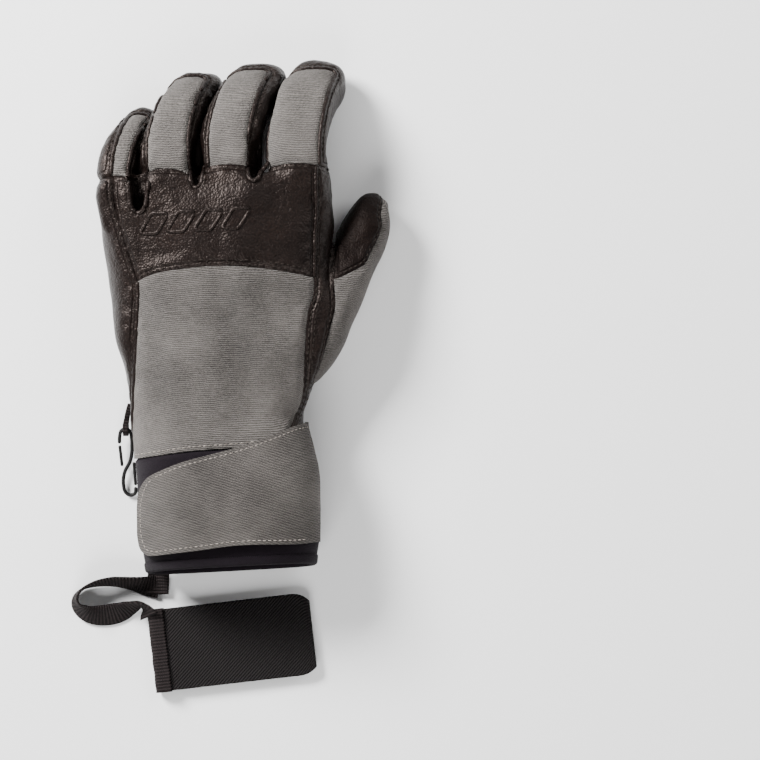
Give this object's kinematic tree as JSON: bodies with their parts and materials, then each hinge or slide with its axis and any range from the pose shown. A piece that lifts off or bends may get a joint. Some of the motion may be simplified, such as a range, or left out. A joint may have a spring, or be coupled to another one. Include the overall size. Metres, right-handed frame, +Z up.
{
  "type": "ski glove",
  "caption": "Insulated left-hand ski glove with leather palm and knuckles, woven back, wide closure strap, clip and elastic wrist leash, lying palm down.",
  "frame": {"origin": "on the resting surface, under the centre of the glove's bounding box (the leash is left out)", "axes": "+X towards the thumb, +Y towards the fingertips, +Z up from the palm to the back of the hand"},
  "size_m": [0.1594, 0.317, 0.0547],
  "materials": {
    "grey_fabric": "matte",
    "leather": "satin",
    "softshell": "matte",
    "wadding": "matte",
    "fleece_lining": "matte",
    "webbing": "matte",
    "elastic": "matte",
    "hook_and_loop": "matte",
    "clip_plastic": "satin"
  },
  "bodies": {
    "hand": {"back_panel": "grey_fabric", "knuckle_panel": "leather", "ulnar_side_panel": "leather", "radial_side_panel": "leather", "palm_panel": "leather", "palm_patch": "leather", "hand_insulation": "wadding", "hand_lining": "fleece_lining", "wrist_elastic": "webbing", "cuff_shell": "softshell", "cuff_lining": "fleece_lining", "hem_binding": "leather", "loop_patch": "hook_and_loop", "clip_tab": "webbing", "leash_anchor": "webbing", "leash_tape": "webbing", "wristband": "elastic", "wristband_binding": "webbing"},
    "little": {"little_back": "grey_fabric", "little_leather": "leather", "little_insulation": "wadding", "little_lining": "fleece_lining"},
    "ring": {"ring_back": "grey_fabric", "ring_leather": "leather", "ring_insulation": "wadding", "ring_lining": "fleece_lining"},
    "middle": {"middle_back": "grey_fabric", "middle_leather": "leather", "middle_insulation": "wadding", "middle_lining": "fleece_lining"},
    "index": {"index_back": "grey_fabric", "index_leather": "leather", "index_insulation": "wadding", "index_lining": "fleece_lining"},
    "thumb": {"thumb_back": "grey_fabric", "thumb_pad": "leather", "thumb_insulation": "wadding", "thumb_lining": "fleece_lining"},
    "strap": {"closure_strap": "grey_fabric", "hook_patch": "hook_and_loop"},
    "clip": {"clip_frame": "clip_plastic"},
    "upper_gate": {"upper_gate": "clip_plastic"},
    "lower_gate": {"lower_gate": "clip_plastic"}
  },
  "joints": [
    {"name": "little_flex", "type": "hinge", "parent": "hand", "child": "little", "pos_m": [-0.06168, 0.07526, 0.0315], "axis": [-1, 0, 0], "range_deg": [-15, 40], "stiffness_Nm_per_rad": 0.1},
    {"name": "ring_flex", "type": "hinge", "parent": "hand", "child": "ring", "pos_m": [-0.03678, 0.08526, 0.033], "axis": [-1, 0, 0], "range_deg": [-15, 40], "stiffness_Nm_per_rad": 0.1},
    {"name": "middle_flex", "type": "hinge", "parent": "hand", "child": "middle", "pos_m": [-0.00568, 0.08826, 0.0335], "axis": [-1, 0, 0], "range_deg": [-15, 40], "stiffness_Nm_per_rad": 0.1},
    {"name": "index_flex", "type": "hinge", "parent": "hand", "child": "index", "pos_m": [0.02772, 0.08826, 0.0335], "axis": [-1, 0, 0], "range_deg": [-15, 40], "stiffness_Nm_per_rad": 0.1},
    {"name": "thumb_spread", "type": "hinge", "parent": "hand", "child": "thumb", "pos_m": [0.03152, -0.03374, 0.02], "axis": [0, 0, -1], "range_deg": [0, 20], "stiffness_Nm_per_rad": 0.1},
    {"name": "strap_peel", "type": "hinge", "parent": "hand", "child": "strap", "pos_m": [0.04011, -0.07974, 0.027], "axis": [0, 1, 0], "range_deg": [0, 120]},
    {"name": "clip_swing", "type": "hinge", "parent": "hand", "child": "clip", "pos_m": [-0.06048, -0.04974, 0.006], "axis": [-1, 0, 0], "range_deg": [0, 90]},
    {"name": "upper_gate_press", "type": "hinge", "parent": "clip", "child": "upper_gate", "pos_m": [-0.06259, -0.0686, 0.00368], "axis": [0, 0.1219, -0.9925], "range_deg": [0, 15], "stiffness_Nm_per_rad": 0.01},
    {"name": "lower_gate_press", "type": "hinge", "parent": "clip", "child": "lower_gate", "pos_m": [-0.05659, -0.06642, 0.00395], "axis": [0, 0.1219, -0.9925], "range_deg": [0, 12], "stiffness_Nm_per_rad": 0.01}
  ]
}
